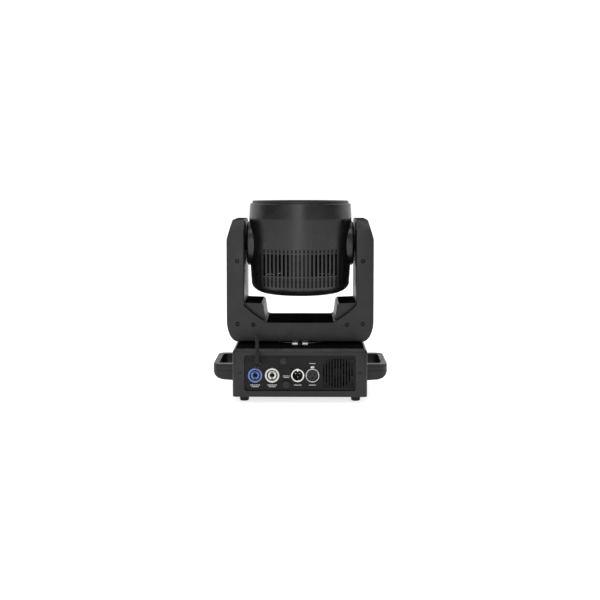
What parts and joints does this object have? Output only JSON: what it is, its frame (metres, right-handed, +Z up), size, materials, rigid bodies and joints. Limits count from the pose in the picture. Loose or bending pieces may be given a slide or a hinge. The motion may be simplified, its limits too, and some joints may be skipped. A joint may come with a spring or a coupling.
{
  "type": "moving head light",
  "caption": "Stage wash light: a round lens head tilts in a U-shaped yoke that pans on a square base with connectors and carrying handles.",
  "frame": {"origin": "on the pan axis at floor level, the middle of the bounding box's bottom", "axes": "+Z up along the pan axis; +X along the tilt axis, towards the arm that holds the tilt belt; the connector panel faces -Y and the display faces +Y"},
  "size_m": [0.316, 0.271, 0.3535],
  "materials": {
    "black_paint": "satin black powder coat on sheet steel",
    "black_steel": "semi-matte black coated steel",
    "black_cover": "satin black moulded cover",
    "black_plastic": "fine-textured black plastic",
    "blue_plastic": "blue moulded plastic",
    "white_plastic": "light grey moulded plastic",
    "steel": "plated steel",
    "aluminium": "plain aluminium",
    "brass": "plated brass",
    "rubber": "matte black rubber",
    "glass": "dark display window",
    "lens": "clear moulded lenses",
    "board": "circuit board with solder mask"
  },
  "bodies": {
    "base": {"base_housing": "black_paint", "base_plate": "black_steel", "foot_rear_left": "rubber", "foot_rear_right": "rubber", "foot_front_left": "rubber", "foot_front_right": "rubber", "rear_panel": "black_steel", "power_inlet": "blue_plastic", "power_outlet": "white_plastic", "data_inlet": "steel", "data_outlet": "steel", "fuse_holder": "black_plastic", "service_cap": "black_plastic", "antenna_socket": "brass", "base_fan_frame": "black_plastic", "power_supply": "aluminium", "handle_left": "black_plastic", "handle_right": "black_plastic", "display_pod": "black_plastic", "display_glass": "glass", "pan_tube": "aluminium", "pan_collar": "aluminium"},
    "base_fan": {"base_fan_rotor": "black_plastic"},
    "fuse_cap": {"fuse_cap": "black_plastic"},
    "data_latch": {"data_latch": "steel"},
    "antenna_elbow": {"antenna_elbow": "black_plastic"},
    "antenna_whip": {"antenna_whip": "rubber"},
    "key_menu": {"key_menu": "black_plastic"},
    "key_up": {"key_up": "black_plastic"},
    "key_enter": {"key_enter": "black_plastic"},
    "key_down": {"key_down": "black_plastic"},
    "pan_lock": {"pan_lock": "black_plastic"},
    "yoke": {"yoke_rear_cover": "black_cover", "yoke_front_cover": "black_cover", "yoke_frame": "black_paint", "pan_bearing": "steel", "tilt_bearing_left": "steel", "tilt_bearing_right": "steel", "pan_motor": "black_steel", "tilt_motor": "black_steel", "pan_belt": "rubber", "tilt_belt": "rubber"},
    "pan_motor_pulley": {"pan_motor_pulley": "aluminium"},
    "tilt_motor_pulley": {"tilt_motor_pulley": "aluminium"},
    "tilt_lock": {"tilt_lock": "steel"},
    "head": {"head_shell": "black_cover", "rear_cap": "black_cover", "front_bezel": "black_cover", "tilt_boss_left": "black_cover", "tilt_boss_right": "black_cover", "tilt_shaft_left": "steel", "tilt_shaft_right": "steel", "heat_sink": "aluminium", "led_board": "board", "head_fan_frame": "black_plastic", "zoom_frame": "steel"},
    "head_fan": {"head_fan_rotor": "black_plastic"},
    "zoom": {"zoom_plate": "black_plastic", "lens_array": "lens"},
    "zoom_screw": {"zoom_screw": "steel"}
  },
  "joints": [
    {"name": "pan", "type": "hinge", "parent": "base", "child": "yoke", "pos_m": [0, 0, 0.1], "axis": [0, 0, 1], "range_deg": [-270, 270]},
    {"name": "tilt", "type": "hinge", "parent": "yoke", "child": "head", "pos_m": [0, 0, 0.275], "axis": [1, 0, 0], "range_deg": [-135, 135]},
    {"name": "pan_motor_turn", "type": "hinge", "parent": "yoke", "child": "pan_motor_pulley", "pos_m": [-0.062, 0, 0.1265], "axis": [0, 0, 1], "range_deg": [-905, 905]},
    {"name": "tilt_motor_turn", "type": "hinge", "parent": "yoke", "child": "tilt_motor_pulley", "pos_m": [0.1185, 0, 0.1213], "axis": [1, 0, 0], "range_deg": [-361, 361]},
    {"name": "tilt_lock_slide", "type": "slide", "parent": "yoke", "child": "tilt_lock", "axis": [0, 0, 1], "range_m": [0, 0.006]},
    {"name": "pan_lock_slide", "type": "slide", "parent": "base", "child": "pan_lock", "axis": [0, 1, 0], "range_m": [0, 0.007]},
    {"name": "zoom_slide", "type": "slide", "parent": "head", "child": "zoom", "axis": [0, 0, 1], "range_m": [-0.022, 0]},
    {"name": "zoom_screw_turn", "type": "hinge", "parent": "head", "child": "zoom_screw", "pos_m": [0.06625, 0.03825, 0.3], "axis": [0, 0, 1], "range_deg": [-995, 5]},
    {"name": "head_fan_spin", "type": "hinge", "parent": "head", "child": "head_fan", "pos_m": [0, 0, 0.197], "axis": [0, 0, 1], "continuous": true},
    {"name": "base_fan_spin", "type": "hinge", "parent": "base", "child": "base_fan", "pos_m": [0.0665, -0.097, 0.053], "axis": [0, 1, 0], "continuous": true},
    {"name": "antenna_swivel", "type": "hinge", "parent": "base", "child": "antenna_elbow", "pos_m": [-0.0732, -0.112, 0.0695], "axis": [0, 1, 0], "range_deg": [-175, 175]},
    {"name": "antenna_fold", "type": "hinge", "parent": "antenna_elbow", "child": "antenna_whip", "pos_m": [-0.0732, -0.1317, 0.0695], "axis": [1, 0, 0], "range_deg": [0, 90]},
    {"name": "fuse_cap_turn", "type": "hinge", "parent": "base", "child": "fuse_cap", "pos_m": [-0.0239, -0.105, 0.033], "axis": [0, 1, 0], "range_deg": [0, 90]},
    {"name": "data_latch_press", "type": "slide", "parent": "base", "child": "data_latch", "axis": [0, 1, 0], "range_m": [0, 0.0015], "stiffness_N_per_m": 400, "springref_m": -0.0005},
    {"name": "key_menu_press", "type": "slide", "parent": "base", "child": "key_menu", "axis": [0, -0.92, -0.3919], "range_m": [0, 0.0012], "stiffness_N_per_m": 400, "springref_m": -0.0005},
    {"name": "key_up_press", "type": "slide", "parent": "base", "child": "key_up", "axis": [0, -0.92, -0.3919], "range_m": [0, 0.0012], "stiffness_N_per_m": 400, "springref_m": -0.0005},
    {"name": "key_enter_press", "type": "slide", "parent": "base", "child": "key_enter", "axis": [0, -0.92, -0.3919], "range_m": [0, 0.0012], "stiffness_N_per_m": 400, "springref_m": -0.0005},
    {"name": "key_down_press", "type": "slide", "parent": "base", "child": "key_down", "axis": [0, -0.92, -0.3919], "range_m": [0, 0.0012], "stiffness_N_per_m": 400, "springref_m": -0.0005}
  ],
  "couplings": [
    {"joint": "pan_motor_turn", "follows": "pan", "ratio": -3.3333},
    {"joint": "tilt_motor_turn", "follows": "tilt", "ratio": 2.6667},
    {"joint": "zoom_screw_turn", "follows": "zoom_slide", "rad_per_m": 785.4}
  ]
}
